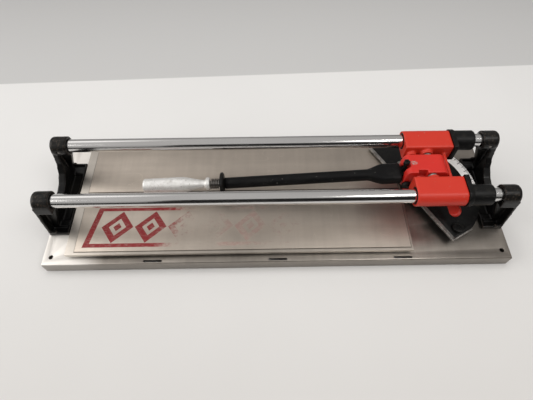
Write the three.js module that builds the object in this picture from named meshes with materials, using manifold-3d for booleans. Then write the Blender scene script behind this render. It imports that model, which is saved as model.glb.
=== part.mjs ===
// Manual twin-rail tile cutter. Millimetres, +Z up, +X along the rails, +Y to the rear.
// The origin is on the ground under the middle of the base.
import * as THREE from 'three';
import { mergeVertices } from 'three/addons/utils/BufferGeometryUtils.js';
import Module from 'manifold-3d';

const wasm = await Module();
wasm.setup();

// Base tray, folded from one sheet
const BASE_LENGTH = 690;
const BASE_WIDTH = 228.8;
const BASE_TOP = 21.5;
const SKIRT_BOTTOM = 1;
const SHEET = 2;
const CORNER_HOLE = { x: 333.5, y: 101.7, r: 3.5 };
const SLOT = { xs: [-183, 1, 185], y: 110.4, length: 27, width: 3.6 };
const FOOT = { x: 296, y: 88, r: 13 };

// Rails and their end brackets
const RAIL_Y = 49.6;
const RAIL_Z = 93.7;
const RAIL_R = 10;
const RAIL_HALF = 334;
const BOSS = { inner: 313.2, outer: 338, r: 14.5 };
const LIP = 31;
const BRACKET = { half: 66, footOuter: 343.5, footTop: 28.3, legInner: 331, webInner: 330 };
const SADDLE = { halfY: 36.5, z: 88, depth: 46.2 };
const RAIL_SCREW_X = 325.5;
const BOLT = { x: 336, y: 47.5, r: 4 };

// Work plates and the breaking rib
const PLATE_LEFT = -310;
const PLATE_RIGHT = 200;
const PLATE_FRONT_Y = 104;
const PLATE_INNER_Y = 3.2;
const WORK_TOP = 33;
const FACING = 0.8;
const PLATE_SHEET = 1.6;
const PLATE_LIP = 5;
const RIB = { left: -306, right: 192, half: 1.6, top: 33.6, footHalf: 9 };
const SPRING_XS = [-240, 130];
const SPRING_Y = 24;

// Carriage
const CARRIAGE_LEFT = 193;
const CARRIAGE_RIGHT = 263;
const SLEEVE = { outer: 15.2, top: 14, inner: 24, bore: 12.5 };
const BUSH_R = 12.2;
const BUSH_BORE = 10.3;
const BUFFER_END = 300.3;
const PIN = { x: 225, z: 95, r: 5 };
const BLOCK_HALF = 16.5;
const WASHER = 3;

// Handle, in its own frame: it points along -X from the socket
const SOCKET_AT = { x: 185.6, z: 79.5 };
const HANDLE_BOLT = { x: 192, z: 75.5, r: 3.5 };
const BUSH_FLANGE = { grow: 1.7, thick: 7 };
const LOCK_SCREW_X = 188.6;
const DROOP = 4.4;
const GRIP_BEND = 2.5;
const TUBE_R = 8.6;
const TUBE_LENGTH = 263;
const ROD_R = 4.5;

// Breaker and scoring wheel hang from the pivot pin
const BREAKER_ANGLE = 45;
const BREAKER_REACH = 56.5;
const BREAKER_HALF_SPAN = 62.5;
const WHEEL_ANGLE = 12;
const WHEEL_R = 11;
const WHEEL_REACH = 57;

// Protractor stop
const PROTRACTOR = { x: 216, bottom: 34, top: 36.5, r: 104, edge: 6, half: 99.2, turn: 29.1 };
const SCALE = { r: 102.5, inner: 87.5, from: -36, to: 64 };
const FENCE = { thick: 2.5, top: 37.6, cap: 2.6, gap: 9 };
const KNOB = { x: 12.5, y: -88.9 };

const GAP = 0.3;
const ROUND = 20;

const paint = (color, metalness, roughness) => new THREE.MeshStandardMaterial({ color, metalness, roughness });
const STEEL = paint(0x9d958a, 0.9, 0.4);
const FACING_STEEL = paint(0xb0a89c, 0.9, 0.45);
const CHROME = paint(0xd8d8d8, 1, 0.12);
const RED = paint(0xc8382c, 0.1, 0.45);
const BLACK = paint(0x1c1c1c, 0.1, 0.35);
const NYLON = paint(0x262524, 0, 0.55);
const RUBBER = paint(0x181818, 0, 0.9);
const ALUMINIUM = paint(0xc9c9c6, 0.9, 0.3);
const DARK_STEEL = paint(0x4a4845, 0.9, 0.4);
const SCALE_WHITE = paint(0xe8e6e0, 0, 0.5);

const rad = THREE.MathUtils.degToRad;

// A closed three.js geometry as a manifold solid
function solid(geometry) {
  const bare = geometry.clone();
  bare.deleteAttribute('normal');
  bare.deleteAttribute('uv');
  const merged = mergeVertices(bare, 1e-4);
  const mesh = new wasm.Mesh({
    numProp: 3,
    vertProperties: new Float32Array(merged.attributes.position.array),
    triVerts: new Uint32Array(merged.index.array),
  });
  return new wasm.Manifold(mesh);
}

function geometryOf(manifold) {
  const mesh = manifold.getMesh();
  const geometry = new THREE.BufferGeometry();
  geometry.setAttribute('position', new THREE.BufferAttribute(mesh.vertProperties.slice(), 3));
  geometry.setIndex(new THREE.BufferAttribute(mesh.triVerts.slice(), 1));
  geometry.computeVertexNormals();
  return geometry;
}

// The joined geometries in `add`, less the geometries in `cut`
function shape(add, cut = []) {
  let body = solid(add[0]);
  for (const part of add.slice(1)) body = body.add(solid(part));
  for (const part of cut) body = body.subtract(solid(part));
  return geometryOf(body);
}

function box(x0, x1, y0, y1, z0, z1) {
  const geometry = new THREE.BoxGeometry(x1 - x0, y1 - y0, z1 - z0);
  return geometry.translate((x0 + x1) / 2, (y0 + y1) / 2, (z0 + z1) / 2);
}

function rodX(r, x0, x1, y = 0, z = 0, sides = ROUND) {
  const geometry = new THREE.CylinderGeometry(r, r, x1 - x0, sides);
  return geometry.rotateZ(Math.PI / 2).translate((x0 + x1) / 2, y, z);
}

function rodY(r, y0, y1, x = 0, z = 0, sides = ROUND) {
  const geometry = new THREE.CylinderGeometry(r, r, y1 - y0, sides);
  return geometry.translate(x, (y0 + y1) / 2, z);
}

function rodZ(r, z0, z1, x = 0, y = 0, sides = ROUND) {
  const geometry = new THREE.CylinderGeometry(r, r, z1 - z0, sides);
  return geometry.rotateX(Math.PI / 2).translate(x, y, (z0 + z1) / 2);
}

// A closed outline of [radius, x] points turned about the X axis
function turnedX(outline, sides = ROUND) {
  const points = outline.map(([r, x]) => new THREE.Vector2(r, x));
  if (THREE.ShapeUtils.area(points) < 0) points.reverse();
  points.push(points[0].clone());
  return new THREE.LatheGeometry(points, sides).rotateZ(-Math.PI / 2);
}

// A [y, z] outline extruded from x0 to x1
function slabX(outline, x0, x1) {
  const geometry = new THREE.ExtrudeGeometry(outline, { depth: x1 - x0, bevelEnabled: false, curveSegments: 8 });
  return geometry.rotateX(Math.PI / 2).rotateZ(Math.PI / 2).translate(x0, 0, 0);
}

// An [x, z] outline extruded from y0 to y1
function slabY(outline, y0, y1) {
  const geometry = new THREE.ExtrudeGeometry(outline, { depth: y1 - y0, bevelEnabled: false, curveSegments: 6 });
  return geometry.rotateX(Math.PI / 2).translate(0, y1, 0);
}

// An [x, y] outline extruded from z0 to z1
function slabZ(outline, z0, z1, arcSteps = 8) {
  const options = { depth: z1 - z0, bevelEnabled: false, curveSegments: arcSteps };
  const geometry = new THREE.ExtrudeGeometry(outline, options);
  return geometry.translate(0, 0, z0);
}

function polygon(points) {
  return new THREE.Shape(points.map(([a, b]) => new THREE.Vector2(a, b)));
}

function roundedRect(a0, a1, b0, b1, r) {
  const outline = new THREE.Shape();
  outline.moveTo(a0 + r, b0);
  outline.lineTo(a1 - r, b0);
  outline.absarc(a1 - r, b0 + r, r, -Math.PI / 2, 0);
  outline.lineTo(a1, b1 - r);
  outline.absarc(a1 - r, b1 - r, r, 0, Math.PI / 2);
  outline.lineTo(a0 + r, b1);
  outline.absarc(a0 + r, b1 - r, r, Math.PI / 2, Math.PI);
  outline.lineTo(a0, b0 + r);
  outline.absarc(a0 + r, b0 + r, r, Math.PI, 1.5 * Math.PI);
  return outline;
}

// A coil of round wire standing on z0, as one closed tube
function coil(r, wire, turns, z0, z1) {
  const points = [];
  const steps = Math.round(turns * 12);
  for (let i = 0; i <= steps; i += 1) {
    const a = (2 * Math.PI * turns * i) / steps;
    points.push(new THREE.Vector3(r * Math.cos(a), r * Math.sin(a), z0 + wire + ((z1 - z0 - 2 * wire) * i) / steps));
  }
  const path = new THREE.CatmullRomCurve3(points);
  const section = new THREE.Shape();
  section.absarc(0, 0, wire, 0, 2 * Math.PI);
  return new THREE.ExtrudeGeometry(section, { extrudePath: path, steps, curveSegments: 2, bevelEnabled: false });
}

// Rings of [y, z] half sizes and squareness, joined into one closed body that runs towards -X
function loft(stations, sides = 24) {
  const positions = [];
  const index = [];
  for (const { x, halfY, halfZ, square } of stations) {
    for (let k = 0; k < sides; k += 1) {
      const a = (2 * Math.PI * k) / sides;
      const c = Math.cos(a);
      const s = Math.sin(a);
      const power = 2 / square;
      positions.push(x, halfY * Math.sign(c) * Math.abs(c) ** power, halfZ * Math.sign(s) * Math.abs(s) ** power);
    }
  }
  for (let i = 0; i + 1 < stations.length; i += 1) {
    for (let k = 0; k < sides; k += 1) {
      const a = i * sides + k;
      const b = i * sides + ((k + 1) % sides);
      index.push(a, b + sides, b, a, a + sides, b + sides);
    }
  }
  const last = (stations.length - 1) * sides;
  for (let k = 1; k + 1 < sides; k += 1) {
    index.push(0, k, k + 1);
    index.push(last, last + k + 1, last + k);
  }
  const geometry = new THREE.BufferGeometry();
  geometry.setAttribute('position', new THREE.Float32BufferAttribute(positions, 3));
  geometry.setIndex(index);
  return geometry;
}

function named(name, geometry, material) {
  const mesh = new THREE.Mesh(geometry, material);
  mesh.name = name;
  return mesh;
}

const ENDS = [['left', -1], ['right', 1]];
const SIDES = [['front', -1], ['rear', 1]];

function baseTray() {
  const halfL = BASE_LENGTH / 2;
  const halfW = BASE_WIDTH / 2;
  const outer = slabX(roundedRect(-halfW, halfW, SKIRT_BOTTOM - 10, BASE_TOP, 2.5), -halfL, halfL);
  const cuts = [
    box(-halfL - 1, halfL + 1, -halfW - 1, halfW + 1, -20, SKIRT_BOTTOM),
    box(-halfL + SHEET, halfL - SHEET, -halfW + SHEET, halfW - SHEET, -1, BASE_TOP - SHEET),
  ];
  for (const [, end] of ENDS) {
    for (const [, side] of SIDES) {
      cuts.push(rodZ(CORNER_HOLE.r, 10, 30, end * CORNER_HOLE.x, side * CORNER_HOLE.y, 12));
      cuts.push(rodZ(BOLT.r + GAP, 10, 30, end * BOLT.x, side * BOLT.y, 12));
    }
  }
  for (const [, side] of SIDES) {
    for (const x of SLOT.xs) {
      const y = side * SLOT.y;
      cuts.push(box(x - SLOT.length / 2, x + SLOT.length / 2, y - SLOT.width / 2, y + SLOT.width / 2, 15, 30));
    }
  }
  return named('base_tray', shape([outer], cuts), STEEL);
}

// A rubber foot glued under the sheet, wider at the top than on the ground
function rubberFoot(name, x, y) {
  const { r } = FOOT;
  const top = BASE_TOP - SHEET - GAP;
  const outline = [[0, 0], [r - 2.5, 0], [r - 1.5, 1], [r, top - 2], [r, top], [0, top]];
  const foot = turnedX(outline, 20).rotateY(-Math.PI / 2).translate(x, y, 0);
  return named(name, foot, RUBBER);
}

function breakingRib() {
  const { left, right, half, top, footHalf } = RIB;
  const foot = BASE_TOP + GAP + 1.8;
  const outline = polygon([
    [-footHalf, BASE_TOP + GAP], [footHalf, BASE_TOP + GAP], [footHalf, foot], [half, foot],
    [half, top - 1], [half - 1, top], [1 - half, top], [-half, top - 1], [-half, foot], [-footHalf, foot],
  ]);
  return named('breaking_rib', slabX(outline, left, right), DARK_STEEL);
}

// A pressed tray, open underneath, that the tile lies on
function workPlate(name, side) {
  const top = WORK_TOP - FACING - GAP;
  const low = side > 0 ? PLATE_INNER_Y : -PLATE_FRONT_Y;
  const high = side > 0 ? PLATE_FRONT_Y : -PLATE_INNER_Y;
  const bottom = top - PLATE_LIP;
  const outer = box(PLATE_LEFT, PLATE_RIGHT, low, high, bottom, top);
  const t = PLATE_SHEET;
  const inside = box(PLATE_LEFT + t, PLATE_RIGHT - t, low + t, high - t, bottom - 1, top - t);
  return named(name, shape([outer], [inside]), STEEL);
}

function plateFacing(name, side) {
  const low = side > 0 ? PLATE_INNER_Y + 1 : 5 - PLATE_FRONT_Y;
  const high = side > 0 ? PLATE_FRONT_Y - 5 : -PLATE_INNER_Y - 1;
  return named(name, box(PLATE_LEFT + 14, PLATE_RIGHT - 4, low, high, WORK_TOP - FACING, WORK_TOP), FACING_STEEL);
}

// The rubber strip that each work plate rocks on, inside its outer lip
function edgePad(name, side) {
  const y = side * (PLATE_FRONT_Y - 9);
  const top = WORK_TOP - FACING - GAP - PLATE_SHEET - GAP;
  return named(name, box(PLATE_LEFT + 20, PLATE_RIGHT - 20, y - 5, y + 5, BASE_TOP + GAP, top), RUBBER);
}

function plateSpring(name, x, side) {
  const top = WORK_TOP - FACING - GAP - PLATE_SHEET - GAP;
  const mesh = named(name, coil(6.5, 0.9, 3.5, BASE_TOP + GAP, top), DARK_STEEL);
  mesh.position.set(x, side * SPRING_Y, 0);
  return mesh;
}

// End bracket, drawn for the right end: two bosses on leaning legs, a foot and a deep saddle
function endBracket(name, end) {
  const { half, footOuter, footTop, legInner, webInner } = BRACKET;
  const { inner, outer, r } = BOSS;
  const bottom = BASE_TOP + GAP;
  const high = RAIL_Z + 2 * r;
  const beyond = footOuter + 9;
  const legs = polygon([
    [-half, bottom], [half, bottom], [half, 32], [RAIL_Y + r, RAIL_Z], [-RAIL_Y - r, RAIL_Z], [-half, 32],
  ]);
  const foot = polygon([
    [inner, 8 - half], [inner, half - 8], [inner + 5, half], [footOuter, half], [footOuter, -half], [inner + 5, -half],
  ]);
  const saddle = new THREE.Shape();
  saddle.absellipse(0, SADDLE.z, SADDLE.halfY, SADDLE.depth, 0, 2 * Math.PI);
  const leanOutside = polygon([
    [outer, high], [beyond, high], [beyond, bottom - 1], [footOuter, bottom - 1], [outer, SADDLE.z],
  ]);
  const leanInside = polygon([
    [inner, high], [inner, RAIL_Z - r + 4], [legInner, footTop], [inner - 9, footTop], [inner - 9, high],
  ]);
  const wall = footOuter - 4.5;
  const pocket = polygon([[inner - 1, 80.5], [outer - 3.5, 80.5], [wall, LIP], [inner - 1, LIP]]);
  const cut = [
    slabX(saddle, inner - 9, beyond),
    box(inner - 9, beyond, -SADDLE.halfY, SADDLE.halfY, SADDLE.z, high),
    box(inner - 9, webInner, 23 - half, half - 23, footTop, high),
    slabY(leanOutside, -half - 1, half + 1),
    slabY(leanInside, -half - 1, half + 1),
    box(inner + 3, webInner, 23 - half, half - 23, bottom + 3, footTop + 1),
  ];
  for (const [, side] of SIDES) {
    const [near, far, lip] = [side * (half - 13), side * (half + 1), side * (half - 3.5)];
    cut.push(slabY(pocket, Math.min(near, far), Math.max(near, far)));
    cut.push(box(inner + 3, wall, Math.min(near, lip), Math.max(near, lip), bottom + 3, LIP + 1));
  }
  const body = shape([slabX(legs, inner, footOuter), slabZ(foot, bottom, footTop)], cut);
  const profile = [[0, inner], [r, inner], [r, outer - 4], [r - 1.2, outer - 1.2], [r - 4, outer], [0, outer]];
  const bosses = [];
  const bores = [];
  for (const [, side] of SIDES) {
    const y = side * RAIL_Y;
    bosses.push(turnedX(profile).translate(0, y, RAIL_Z));
    bores.push(rodX(RAIL_R + GAP, inner - 1, RAIL_HALF + 0.5, y, RAIL_Z));
    bores.push(rodY(2.6, Math.min(y, y - side * 20), Math.max(y, y - side * 20), RAIL_SCREW_X, RAIL_Z, 12));
    bores.push(rodZ(BOLT.r + GAP, bottom - 1, bottom + 16, BOLT.x, side * BOLT.y, 12));
  }
  const mesh = named(name, shape([body, ...bosses], bores), BLACK);
  mesh.rotation.z = end > 0 ? 0 : Math.PI;
  return mesh;
}

function bracketBolt(name, x, y) {
  const under = BASE_TOP - SHEET - GAP;
  const head = rodZ(6.5, under - 5.5, under, x, y, 6);
  const shank = rodZ(BOLT.r, under - 1, BASE_TOP + 14, x, y, 12);
  return named(name, shape([head, shank]), DARK_STEEL);
}

function railScrew(name, x, side) {
  const from = side * (RAIL_Y - RAIL_R - GAP);
  const to = side * (RAIL_Y - BOSS.r + 0.6);
  return named(name, rodY(2.3, Math.min(from, to), Math.max(from, to), x, RAIL_Z, 12), DARK_STEEL);
}

// One sleeve's [y, z] section about its rail, with the wide side towards the middle
function sleeveSection(grow = 0) {
  const outer = SLEEVE.outer + grow;
  const top = SLEEVE.top + grow;
  const inner = SLEEVE.inner + grow;
  const section = new THREE.Shape();
  const start = Math.PI - Math.asin(top / outer);
  section.moveTo(inner - 2, top);
  section.lineTo(outer * Math.cos(start), top);
  section.absarc(0, 0, outer, start, 1.5 * Math.PI);
  section.lineTo(inner - 3, -outer);
  section.lineTo(inner, 3 - outer);
  section.lineTo(inner, top - 2);
  section.closePath();
  return section;
}

// A length of that section about its own rail
function sleeveSlab(side, grow, x0, x1) {
  const slab = slabX(sleeveSection(grow), x0, x1);
  if (side > 0) slab.rotateZ(Math.PI).translate(x0 + x1, 0, 0);
  return slab.translate(0, side * RAIL_Y, RAIL_Z);
}

function carriageBody() {
  const wall = RAIL_Y - SLEEVE.inner;
  const add = [];
  const cut = [];
  for (const [, side] of SIDES) {
    add.push(sleeveSlab(side, 0, CARRIAGE_LEFT, CARRIAGE_RIGHT));
    const y = side * wall;
    const lug = side * (BLOCK_HALF + WASHER + 2 * GAP);
    add.push(rodY(9, Math.min(y + side, lug), Math.max(y + side, lug), PIN.x, PIN.z));
    add.push(rodY(7, Math.min(y + side, lug), Math.max(y + side, lug), PIN.x - 22, PIN.z - 2));
    cut.push(rodX(SLEEVE.bore, CARRIAGE_LEFT - 1, CARRIAGE_RIGHT + 1, side * RAIL_Y, RAIL_Z));
    cut.push(rodY(PIN.r + GAP, Math.min(0, side * 34), Math.max(0, side * 34), PIN.x, PIN.z, 24));
  }
  const bridge = slabY(roundedRect(250, 255, 82, 94, 1.5), -wall - 1, wall + 1);
  return named('carriage_body', shape([...add, bridge], cut), RED);
}

// Long bush whose flange covers the sleeve's end, standing out as a buffer towards the right bracket
function guideBush(name, side) {
  const face = CARRIAGE_RIGHT + GAP;
  const outline = [[BUSH_BORE, 229], [BUSH_R, 229], [BUSH_R, face], [15, face], [15, BUFFER_END - 2],
    [13.6, BUFFER_END], [BUSH_BORE, BUFFER_END]];
  const barrel = turnedX(outline).translate(0, side * RAIL_Y, RAIL_Z);
  const flange = sleeveSlab(side, BUSH_FLANGE.grow, face, face + BUSH_FLANGE.thick);
  const bore = rodX(BUSH_R, face - 1, face + BUSH_FLANGE.thick + 1, side * RAIL_Y, RAIL_Z);
  return named(name, shape([barrel, shape([flange], [bore])]), NYLON);
}

function endBush(name, side) {
  const start = CARRIAGE_LEFT + 0.4;
  const outline = [[BUSH_BORE, start], [BUSH_R, start], [BUSH_R, 227], [BUSH_BORE, 227]];
  return named(name, turnedX(outline).translate(0, side * RAIL_Y, RAIL_Z), NYLON);
}

function pivotWasher(name, side) {
  const y = side * (BLOCK_HALF + GAP);
  const disc = rodY(6.4, Math.min(y, y + side * WASHER), Math.max(y, y + side * WASHER), PIN.x, PIN.z, 24);
  const bore = rodY(PIN.r + 0.15, -30, 30, PIN.x, PIN.z, 24);
  return named(name, shape([disc], [bore]), ALUMINIUM);
}

// Turns a piece drawn hanging straight below the pin to its place at rest
function hang(geometry, angle) {
  return geometry.rotateY(-rad(angle)).translate(PIN.x, 0, PIN.z);
}

function swivelBlock() {
  const outline = new THREE.Shape();
  outline.moveTo(187, 68.5);
  outline.lineTo(201, 68.5);
  outline.lineTo(212, 84);
  outline.lineTo(240, 84);
  outline.quadraticCurveTo(248.5, 87, 248.5, 94);
  outline.quadraticCurveTo(247.5, 103, 238, 103);
  outline.lineTo(193, 103);
  outline.quadraticCurveTo(187.5, 101, 187, 90);
  outline.closePath();
  const arm = box(-8.5, 8.5, -8, 8, -45, -14);
  const holderSeat = rodZ(7, -29, -7, 0, 0, 16);
  const add = [slabY(outline, -BLOCK_HALF, BLOCK_HALF), hang(arm, BREAKER_ANGLE), hang(holderSeat, WHEEL_ANGLE)];
  const cut = [
    rodY(PIN.r + 0.15, -30, 30, PIN.x, PIN.z, 24),
    box(180, 205, -8.8, 8.8, 60, 89.5),
    box(180, 194.2, -6.5, 6.5, 80, 110),
    box(204, 217.5, -30, 5 - BLOCK_HALF, 88, 110),
    hang(box(-5.9, 5.9, -9, 9, -46, -30.5), BREAKER_ANGLE),
    rodY(HANDLE_BOLT.r + GAP, -30, 30, HANDLE_BOLT.x, HANDLE_BOLT.z, 16),
    hang(rodX(2.6, -20, 20, 0, -39, 12), BREAKER_ANGLE),
    hang(rodZ(3.4, -40, -9.5, 0, 0, 12), WHEEL_ANGLE),
  ];
  return named('swivel_block', shape(add, cut), RED);
}

// Steel shank with a fork that carries the scoring wheel on the cutting line
function wheelHolder() {
  const hub = WHEEL_REACH - WHEEL_R;
  const add = [rodZ(3.2, -31, -11, 0, 0, 16), box(-5, 5, -4.5, 4.5, -hub - 5, -30.4)];
  const cut = [box(-6, 6, -1.5, 1.5, -hub - 6, -hub + WHEEL_R + 1), rodY(1.8, -9, 9, 0, -hub, 12)];
  return named('wheel_holder', hang(shape(add, cut), WHEEL_ANGLE), DARK_STEEL);
}

function scoringWheel() {
  const r = WHEEL_R;
  const outline = [[1.8, -1.1], [r - 2, -1.1], [r, 0], [r - 2, 1.1], [1.8, 1.1]];
  const wheel = turnedX(outline, 28).rotateZ(Math.PI / 2).translate(0, 0, -WHEEL_REACH + r);
  return named('scoring_wheel', hang(wheel, WHEEL_ANGLE), CHROME);
}

function wheelAxle() {
  const axle = rodY(1.5, -5.5, 5.5, 0, -WHEEL_REACH + WHEEL_R, 12);
  return named('wheel_axle', hang(axle, WHEEL_ANGLE), STEEL);
}

// Two-winged foot that presses the tile on each side of the score line
function breakerFoot() {
  const reach = BREAKER_REACH;
  const plate = slabZ(roundedRect(-8, 8, -BREAKER_HALF_SPAN, BREAKER_HALF_SPAN, 7.9), -reach, -reach + 7);
  const lug = box(-5.5, 5.5, -7.5, 7.5, -reach + 5, -31.5);
  const relief = box(-20, 20, -9, 9, -reach - 1, -reach + 2.5);
  const bore = rodX(2.6, -20, 20, 0, -39, 12);
  const foot = shape([plate, lug], [relief, bore]);
  return named('breaker_foot', hang(foot, BREAKER_ANGLE), RED);
}

function breakerPin() {
  return named('breaker_pin', hang(rodX(2.3, -9.5, 9.5, 0, -39, 12), BREAKER_ANGLE), STEEL);
}

// Black tube that widens into a flat socket, with a tongue between the block's ears
function handleTube() {
  const stations = [
    { x: 0, halfY: 15, halfZ: 9, square: 4 },
    { x: -26, halfY: 13.5, halfZ: 9, square: 3.4 },
    { x: -36, halfY: 10.5, halfZ: 8.6, square: 2.6 },
    { x: -48, halfY: TUBE_R, halfZ: TUBE_R, square: 2 },
    { x: -TUBE_LENGTH, halfY: TUBE_R, halfZ: TUBE_R, square: 2 },
  ];
  const tongue = box(-8, 17, -8.4, 8.4, -6.5, 6.5);
  const bolt = new THREE.Vector3(HANDLE_BOLT.x - SOCKET_AT.x, 0, HANDLE_BOLT.z - SOCKET_AT.z);
  bolt.applyAxisAngle(new THREE.Vector3(0, 1, 0), rad(DROOP));
  const cut = [
    rodX(ROD_R + 0.9, -TUBE_LENGTH - 1, -TUBE_LENGTH + 14, 0, 0, 16),
    rodY(HANDLE_BOLT.r + GAP, -30, 30, bolt.x, bolt.z, 16),
  ];
  return named('handle_tube', shape([loft(stations), tongue], cut), BLACK);
}

function handleBolt() {
  const { x, z, r } = HANDLE_BOLT;
  const shank = rodY(r, -BLOCK_HALF - 7, BLOCK_HALF + GAP + 2, x, z, 16);
  const head = rodY(7, BLOCK_HALF + GAP, BLOCK_HALF + GAP + 5, x, z, 6);
  return named('handle_bolt', shape([shank, head]), DARK_STEEL);
}

function handleNut() {
  const { x, z, r } = HANDLE_BOLT;
  const y = -BLOCK_HALF - GAP;
  const outline = [[r + GAP, y - 4.5], [6.4, y - 4.5], [7, y - 3.5], [7, y - 0.6], [6.4, y], [r + GAP, y]];
  return named('handle_bolt_nut', turnedX(outline, 20).rotateZ(Math.PI / 2).translate(x, 0, z), BLACK);
}

function handleLockScrew() {
  const shank = rodZ(2.8, 87.6, 102.4, LOCK_SCREW_X, 0, 16);
  const head = rodZ(4.9, 102, 108, LOCK_SCREW_X, 0, 6);
  return named('handle_lock_screw', shape([shank, head]), BLACK);
}

function gripFlange() {
  const outline = [[ROD_R + GAP, -7.6], [9, -7.6], [16, -6.8], [17, -5.5], [17, -2.5], [16, -1.2], [9.5, -0.4],
    [ROD_R + GAP, -0.4]];
  return named('grip_flange', turnedX(outline), NYLON);
}

function gripSpring() {
  const wire = coil(7, 1.1, 4.5, 8, 22.6).rotateY(-Math.PI / 2);
  return named('grip_spring', wire, DARK_STEEL);
}

// Turned aluminium grip: neck ring, cone, then a plain barrel with a shallow hollow end
function aluminiumGrip() {
  const near = -23;
  const end = -124.5;
  const outline = [
    [ROD_R + 0.3, near], [9, near], [9.8, near - 1.5], [9.8, near - 5], [6.4, near - 6.5], [6.4, near - 12],
    [11.5, near - 37], [11.8, near - 40], [10.8, end + 2], [9.8, end], [4, end], [4, end + 5], [0.6, end + 5],
    [0.6, end + 20], [ROD_R + 0.3, end + 20],
  ];
  return named('grip', turnedX(outline), ALUMINIUM);
}

function coreRod() {
  return named('core_rod', rodX(ROD_R, -98, 9, 0, 0, 16), STEEL);
}

// D-shaped plate with its straight edge along local Y and its pivot at the local origin
function protractorPlate() {
  const { r, edge, half, bottom, top } = PROTRACTOR;
  const corner = Math.asin((half - 1) / r);
  const outline = new THREE.Shape();
  outline.moveTo(-edge, -half);
  outline.lineTo(30, -half);
  outline.absarc(0, 0, r, -corner, corner);
  outline.lineTo(30, half);
  outline.lineTo(-edge, half);
  outline.closePath();
  const cut = [rodZ(4.3, 20, 50, 0, 0, 20), rodZ(3.3, 20, 50, KNOB.x, KNOB.y, 16)];
  return named('protractor_plate', shape([slabZ(outline, bottom, top, 20)], cut), BLACK);
}

function protractorScale() {
  const { r, inner, from, to } = SCALE;
  const outline = new THREE.Shape();
  outline.absarc(0, 0, r, rad(from), rad(to), false);
  outline.absarc(0, 0, inner, rad(to), rad(from), true);
  outline.closePath();
  return named('protractor_scale', slabZ(outline, PROTRACTOR.top + 0.1, PROTRACTOR.top + 0.5, 18), SCALE_WHITE);
}

// Aluminium fence along the straight edge, folded round the near corner
function fence() {
  const { edge, half } = PROTRACTOR;
  const near = -edge - GAP;
  const low = -half - GAP;
  const outline = polygon([
    [near - FENCE.thick, half], [near - FENCE.thick, low - 2], [30, low - 2], [30, low], [near, low], [near, half],
  ]);
  const cap = [[-half, -FENCE.gap], [FENCE.gap, half]].map(
    ([y0, y1]) => box(near - 0.5, near + FENCE.cap, y0, y1, PROTRACTOR.top + GAP, FENCE.top),
  );
  return named('fence', shape([slabZ(outline, PROTRACTOR.bottom, FENCE.top), ...cap]), ALUMINIUM);
}

function protractorPost() {
  const flange = rodZ(9, BASE_TOP + GAP, BASE_TOP + 3, 0, 0, 24);
  const post = rodZ(6.5, BASE_TOP + 1, PROTRACTOR.bottom - GAP, 0, 0, 24);
  const spigot = rodZ(4, 30, PROTRACTOR.top - 0.4, 0, 0, 20);
  const tapped = rodZ(2.8, 10, 50, 0, 0, 16);
  const mesh = named('protractor_post', shape([flange, post, spigot], [tapped]), STEEL);
  mesh.position.set(PROTRACTOR.x, 0, 0);
  return mesh;
}

function protractorScrew() {
  const head = rodZ(6, PROTRACTOR.top - 0.1, PROTRACTOR.top + 1.1, 0, 0, 20);
  const shank = rodZ(2.5, BASE_TOP + 2, PROTRACTOR.top, 0, 0, 16);
  const mesh = named('protractor_screw', shape([head, shank]), DARK_STEEL);
  mesh.position.set(PROTRACTOR.x, 0, 0.3);
  return mesh;
}

function protractorKnob() {
  const top = PROTRACTOR.top + GAP;
  const cap = turnedX([[0, top], [9, top], [9, top + 3], [8, top + 4], [0, top + 4.4]], 28);
  const stud = rodX(2.8, 26, top + 1, 0, 0, 16);
  const knob = shape([cap, stud]).rotateY(-Math.PI / 2).translate(KNOB.x, KNOB.y, 0);
  return named('protractor_knob', knob, NYLON);
}

const cutter = new THREE.Group();

cutter.add(baseTray(), breakingRib(), protractorPost(), protractorScrew());
for (const [end, ex] of ENDS) {
  cutter.add(endBracket(`${end}_bracket`, ex));
  for (const [side, sy] of SIDES) {
    cutter.add(rubberFoot(`${side}_${end}_rubber_foot`, ex * FOOT.x, sy * FOOT.y));
    cutter.add(bracketBolt(`${side}_${end}_bracket_bolt`, ex * BOLT.x, sy * BOLT.y));
    cutter.add(railScrew(`${side}_${end}_rail_screw`, ex * RAIL_SCREW_X, sy));
  }
}
for (const [side, sy] of SIDES) {
  cutter.add(named(`${side}_rail`, rodX(RAIL_R, -RAIL_HALF, RAIL_HALF, sy * RAIL_Y, RAIL_Z), CHROME));
  cutter.add(workPlate(`${side}_work_plate`, sy), plateFacing(`${side}_plate_facing`, sy));
  cutter.add(edgePad(`${side}_edge_pad`, sy));
  SPRING_XS.forEach((x, i) => cutter.add(plateSpring(`${side}_${ENDS[i][0]}_plate_spring`, x, sy)));
}

const carriage = new THREE.Group();
carriage.add(carriageBody());
for (const [side, sy] of SIDES) {
  carriage.add(guideBush(`${side}_guide_bush`, sy), endBush(`${side}_end_bush`, sy));
  carriage.add(pivotWasher(`${side}_pivot_washer`, sy));
}
carriage.add(named('pivot_pin', rodY(PIN.r, -33.5, 33.5, PIN.x, PIN.z, 24), CHROME));
cutter.add(carriage);

const lever = new THREE.Group();
lever.add(swivelBlock(), wheelHolder(), scoringWheel(), wheelAxle(), breakerFoot(), breakerPin());
lever.add(handleBolt(), handleNut(), handleLockScrew());
const handle = new THREE.Group();
handle.position.set(SOCKET_AT.x, 0, SOCKET_AT.z);
handle.rotation.y = -rad(DROOP);
const gripEnd = new THREE.Group();
gripEnd.position.set(-TUBE_LENGTH, 0, 0);
gripEnd.rotation.y = rad(GRIP_BEND);
gripEnd.add(gripFlange(), gripSpring(), aluminiumGrip(), coreRod());
handle.add(handleTube(), gripEnd);
lever.add(handle);
carriage.add(lever);

const protractor = new THREE.Group();
protractor.position.set(PROTRACTOR.x, 0, 0);
protractor.rotation.z = rad(PROTRACTOR.turn);
protractor.add(protractorPlate(), protractorScale(), fence(), protractorKnob());
cutter.add(protractor);

export default cutter;
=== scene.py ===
import math

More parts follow.
